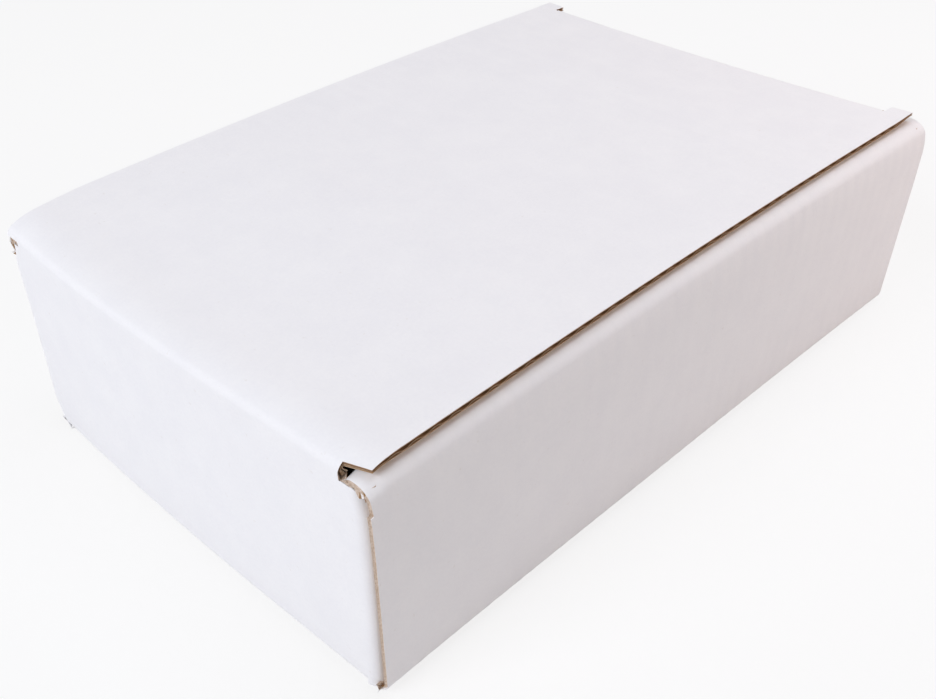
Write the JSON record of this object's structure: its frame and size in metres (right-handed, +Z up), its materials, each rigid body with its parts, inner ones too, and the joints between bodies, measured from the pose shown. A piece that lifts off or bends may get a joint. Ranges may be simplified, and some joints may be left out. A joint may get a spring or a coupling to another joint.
{
  "type": "corrugated mailer box",
  "caption": "White corrugated mailer box with rolled side walls, a lid hinged on a crease along the back wall and a front tuck flap.",
  "frame": {"origin": "middle of the floor's lower face, on the surface that the box stands on", "axes": "+X across the two rolled side walls, +Y from the front wall to the hinge wall, +Z up"},
  "size_m": [0.17, 0.255, 0.078],
  "materials": {
    "white_board": "smooth matt white outer paper; brown fluted medium at the raw edges"
  },
  "bodies": {
    "tray": {"tray": "white_board"},
    "lid": {"lid": "white_board"}
  },
  "joints": [
    {"name": "lid_hinge", "type": "hinge", "parent": "tray", "child": "lid", "pos_m": [0, 0.12677, 0.07727], "axis": [-1, 0, 0], "range_deg": [0, 195]}
  ]
}
